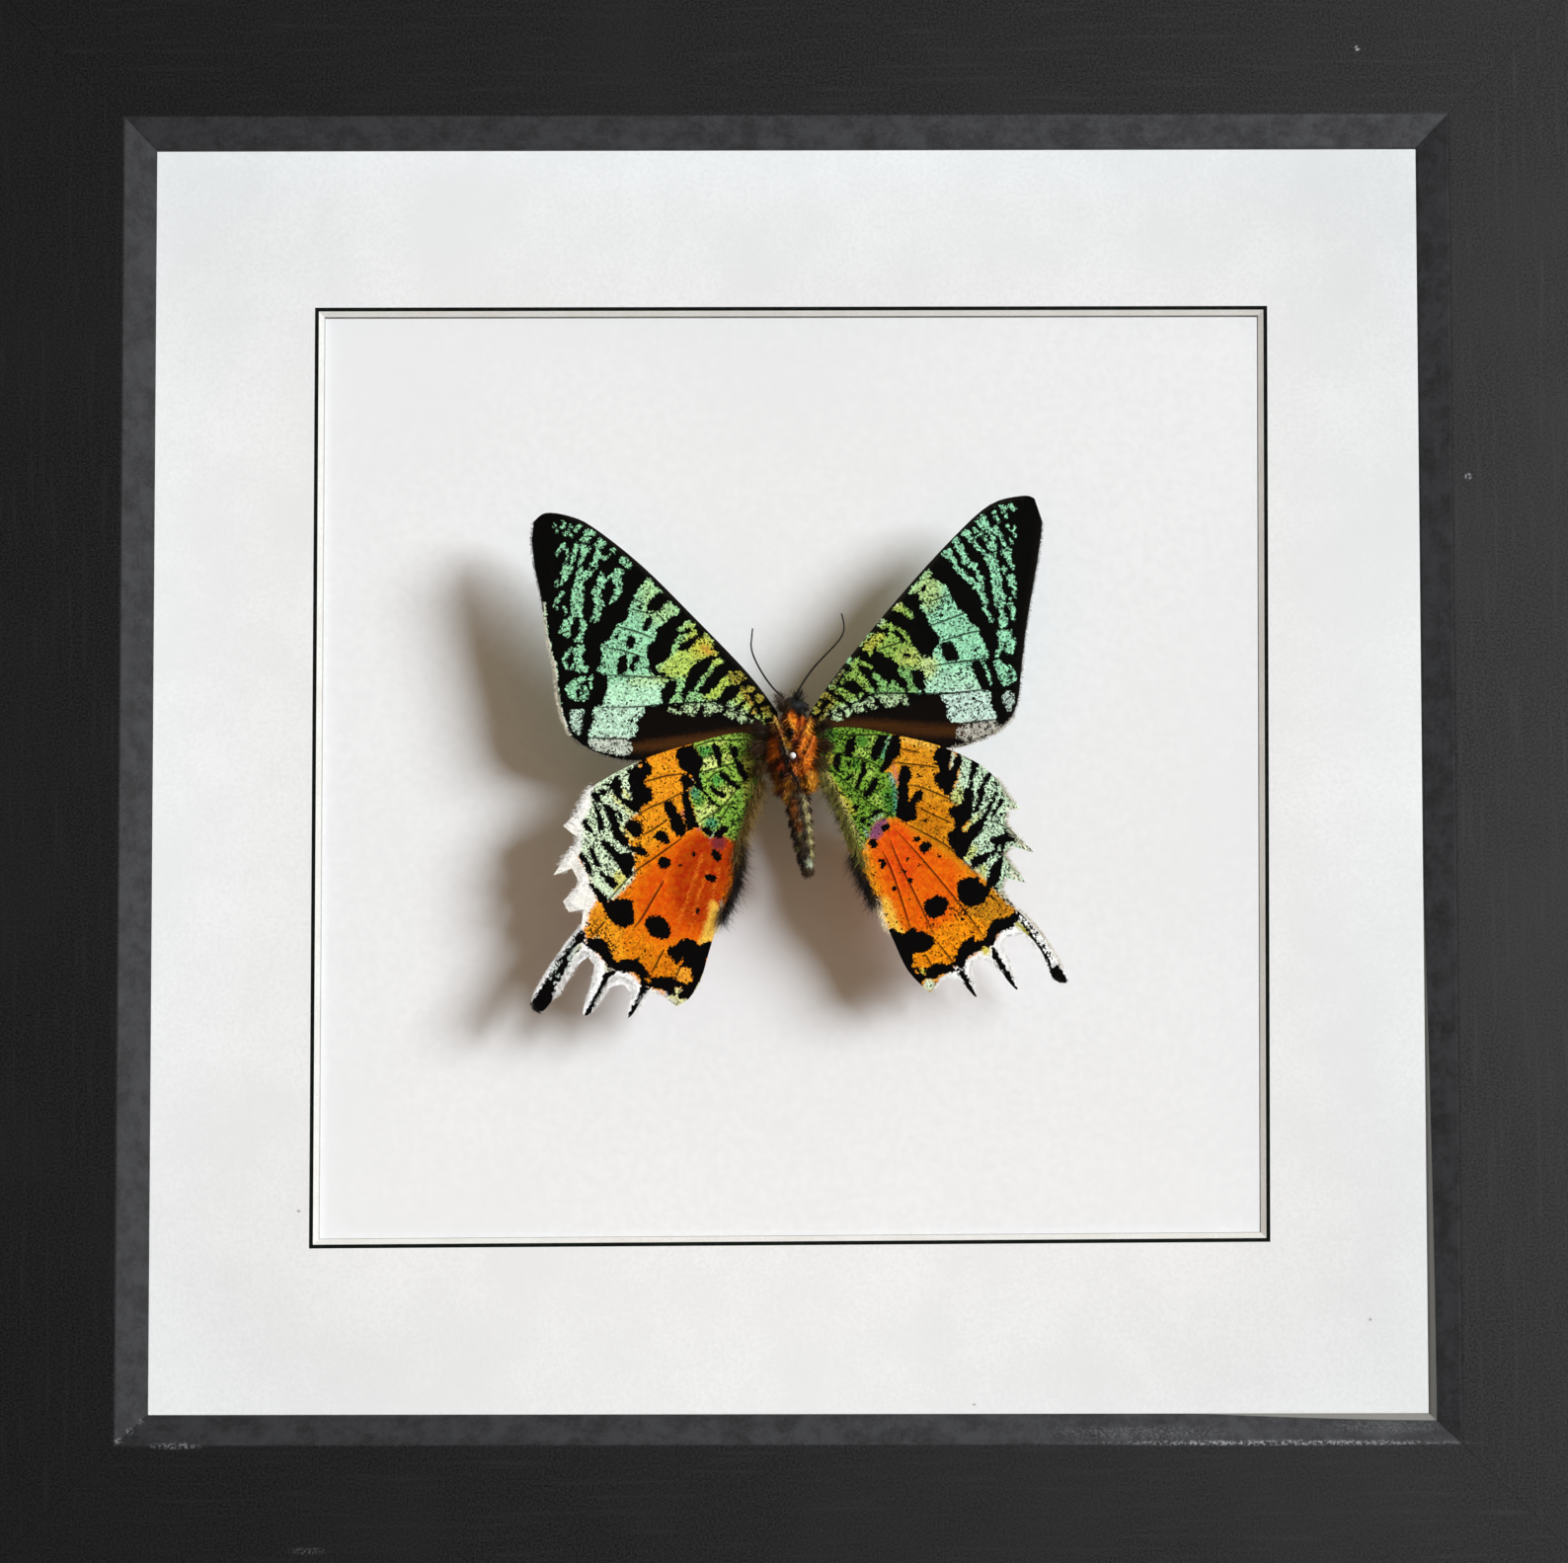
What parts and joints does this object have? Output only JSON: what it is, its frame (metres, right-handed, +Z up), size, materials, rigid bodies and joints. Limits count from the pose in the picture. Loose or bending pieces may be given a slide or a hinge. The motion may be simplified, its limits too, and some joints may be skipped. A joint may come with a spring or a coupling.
{
  "type": "framed moth specimen",
  "caption": "Deep black wooden box frame with glass, a white window mat and a pinned sunset moth shown underside out, for a wall or a shelf.",
  "frame": {"origin": "centre of the frame's footprint on the surface that it stands on", "axes": "+Z up; -Y is the way the glass faces; +Y points to the wall; +X to the right as seen from the front"},
  "size_m": [0.24, 0.04, 0.24],
  "materials": {
    "black_wood": "satin black paint over fine wood grain, rubbed along the edges",
    "glass": "clear flat picture glass",
    "white_card": "matt white card",
    "mat_board": "faintly mottled white mat board with a dark inked line at the window",
    "foam_board": "smooth white paper face",
    "hardboard": "brown pressed fibre board",
    "steel": "zinc plated",
    "pin": "steel shaft with a white round head",
    "fur": "orange and dark brown fur",
    "forewing": "black scales with mint green bars",
    "hindwing": "green, orange and red scales with black spots and a white fringe",
    "antenna": "matt black thread"
  },
  "bodies": {
    "root": {"frame_top": "black_wood", "frame_bottom": "black_wood", "frame_left": "black_wood", "frame_right": "black_wood", "glass": "glass", "spacer_top": "white_card", "spacer_bottom": "white_card", "spacer_left": "white_card", "spacer_right": "white_card", "mat": "mat_board", "backing_board": "foam_board", "back_panel": "hardboard", "back_tab_1": "steel", "back_tab_2": "steel", "back_tab_3": "steel", "back_tab_4": "steel", "back_tab_5": "steel", "back_tab_6": "steel", "back_tab_7": "steel", "back_tab_8": "steel", "hanger": "steel", "hanger_screw_left": "steel", "hanger_screw_right": "steel", "pin": "pin", "body": "fur", "left_forewing": "forewing", "right_forewing": "forewing", "left_hindwing": "hindwing", "right_hindwing": "hindwing", "left_antenna": "antenna", "right_antenna": "antenna"}
  },
  "joints": []
}
